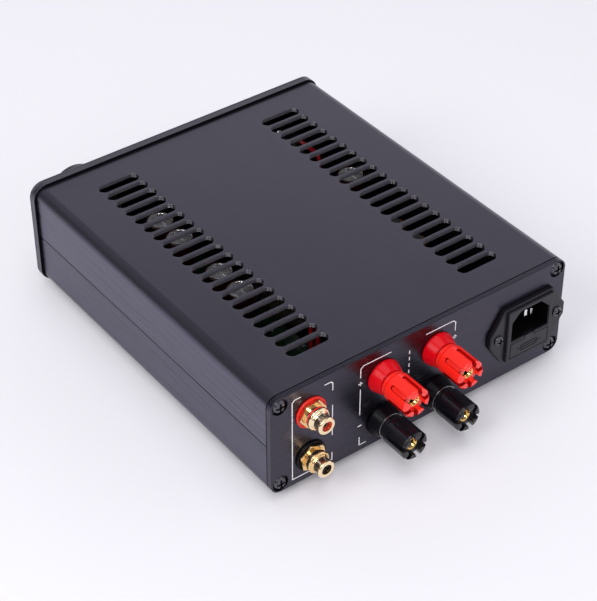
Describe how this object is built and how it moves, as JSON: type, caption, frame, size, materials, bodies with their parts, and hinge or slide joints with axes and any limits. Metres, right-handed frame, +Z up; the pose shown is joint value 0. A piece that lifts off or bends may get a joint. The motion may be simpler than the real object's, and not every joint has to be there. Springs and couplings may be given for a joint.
{
  "type": "audio amplifier",
  "caption": "Compact stereo audio amplifier: vented metal case, volume knob in front, and phono sockets, speaker posts and fused mains inlet at the rear.",
  "frame": {"origin": "on the ground plane under the middle of the whole object, knob and posts included", "axes": "+Z up, the front with its knob faces -Y, the sockets face +Y, the phono sockets are on the +X side"},
  "size_m": [0.193, 0.2724, 0.0675],
  "materials": {
    "case_aluminium": "dark grey anodised, fine brushed",
    "plate_aluminium": "dark grey anodised, fine horizontal grain, white print",
    "front_aluminium": "dark grey anodised, brushed",
    "black_steel": "black oxide",
    "rubber": "matte",
    "knob_aluminium": "turned, anodised",
    "steel": "zinc plated",
    "gold": "gold plated",
    "pale_gold": "pale gold plated",
    "red_clear": "glossy translucent red",
    "red_cap": "satin bright red",
    "black_gloss": "glossy black",
    "black_cap": "satin black",
    "black_plastic": "fine matte",
    "white_plastic": "natural",
    "tinned": "nickel plated",
    "light": "clear lens",
    "glass_tube": "clear glass with metal ends",
    "board": "green circuit board",
    "can": "dark red sleeve with a bare aluminium top",
    "tape": "black tape over copper windings",
    "sink": "black anodised",
    "copper": "enamelled copper wire",
    "leads": "insulated wire"
  },
  "bodies": {
    "amplifier": {"amplifier_board": "board", "board_pillars": "white_plastic", "bottom_cover": "case_aluminium", "filter_coils": "copper", "front_panel": "front_aluminium", "front_panel_screws": "black_steel", "heatsink": "sink", "inlet_housing": "black_plastic", "inlet_pins": "tinned", "inlet_screws": "black_steel", "input_contacts": "pale_gold", "input_inner_washers": "black_plastic", "input_nuts": "steel", "internal_leads": "leads", "left_black_post_collar": "black_gloss", "left_black_post_stud": "gold", "left_input_ring": "black_gloss", "left_input_sleeve": "black_gloss", "left_input_socket": "pale_gold", "left_input_washer": "black_gloss", "left_red_post_collar": "red_clear", "left_red_post_stud": "gold", "output_devices": "black_plastic", "post_inner_washers": "black_plastic", "post_nuts": "steel", "potentiometer": "steel", "potentiometer_nut": "steel", "power_light": "light", "power_switch": "steel", "power_switch_nut": "steel", "rear_panel": "plate_aluminium", "rear_panel_screws": "black_steel", "reservoir_capacitors": "can", "right_black_post_collar": "black_gloss", "right_black_post_stud": "gold", "right_input_ring": "red_clear", "right_input_sleeve": "red_clear", "right_input_socket": "pale_gold", "right_input_washer": "red_clear", "right_red_post_collar": "red_clear", "right_red_post_stud": "gold", "rubber_feet": "rubber", "supply_board": "board", "top_cover": "case_aluminium", "transformer": "tape", "transformer_bolt": "steel"},
    "volume_knob": {"volume_knob": "knob_aluminium", "knob_set_screw": "black_steel", "potentiometer_shaft": "steel"},
    "power_button": {"power_button": "knob_aluminium"},
    "fuse_drawer": {"fuse_drawer": "black_plastic", "fuse": "glass_tube"},
    "right_red_post_ring": {"right_red_post_ring": "tinned"},
    "right_red_post_cap": {"right_red_post_cap": "red_cap"},
    "left_red_post_ring": {"left_red_post_ring": "tinned"},
    "left_red_post_cap": {"left_red_post_cap": "red_cap"},
    "right_black_post_ring": {"right_black_post_ring": "tinned"},
    "right_black_post_cap": {"right_black_post_cap": "black_cap"},
    "left_black_post_ring": {"left_black_post_ring": "tinned"},
    "left_black_post_cap": {"left_black_post_cap": "black_cap"}
  },
  "joints": [
    {"name": "volume_turn", "type": "hinge", "parent": "amplifier", "child": "volume_knob", "pos_m": [0.056, -0.1117, 0.0355], "axis": [0, 1, 0], "range_deg": [-150, 150]},
    {"name": "power_press", "type": "slide", "parent": "amplifier", "child": "power_button", "axis": [0, 1, 0], "range_m": [0, 0.002], "stiffness_N_per_m": 400, "springref_m": -0.002},
    {"name": "fuse_drawer_slide", "type": "slide", "parent": "amplifier", "child": "fuse_drawer", "axis": [0, 1, 0], "range_m": [0, 0.014]},
    {"name": "right_red_post_turn", "type": "hinge", "parent": "amplifier", "child": "right_red_post_ring", "pos_m": [0.026, 0.1093, 0.048], "axis": [0, 1, 0], "range_deg": [0, 1440]},
    {"name": "right_red_post_rise", "type": "slide", "parent": "right_red_post_ring", "child": "right_red_post_cap", "axis": [0, 1, 0], "range_m": [0, 0.004]},
    {"name": "left_red_post_turn", "type": "hinge", "parent": "amplifier", "child": "left_red_post_ring", "pos_m": [-0.0085, 0.1093, 0.048], "axis": [0, 1, 0], "range_deg": [0, 1440]},
    {"name": "left_red_post_rise", "type": "slide", "parent": "left_red_post_ring", "child": "left_red_post_cap", "axis": [0, 1, 0], "range_m": [0, 0.004]},
    {"name": "right_black_post_turn", "type": "hinge", "parent": "amplifier", "child": "right_black_post_ring", "pos_m": [0.026, 0.1093, 0.0195], "axis": [0, 1, 0], "range_deg": [0, 1440]},
    {"name": "right_black_post_rise", "type": "slide", "parent": "right_black_post_ring", "child": "right_black_post_cap", "axis": [0, 1, 0], "range_m": [0, 0.004]},
    {"name": "left_black_post_turn", "type": "hinge", "parent": "amplifier", "child": "left_black_post_ring", "pos_m": [-0.0085, 0.1093, 0.0195], "axis": [0, 1, 0], "range_deg": [0, 1440]},
    {"name": "left_black_post_rise", "type": "slide", "parent": "left_black_post_ring", "child": "left_black_post_cap", "axis": [0, 1, 0], "range_m": [0, 0.004]}
  ],
  "couplings": [
    {"joint": "right_red_post_turn", "follows": "right_red_post_rise", "rad_per_m": 6283.2},
    {"joint": "left_red_post_turn", "follows": "left_red_post_rise", "rad_per_m": 6283.2},
    {"joint": "right_black_post_turn", "follows": "right_black_post_rise", "rad_per_m": 6283.2},
    {"joint": "left_black_post_turn", "follows": "left_black_post_rise", "rad_per_m": 6283.2}
  ]
}
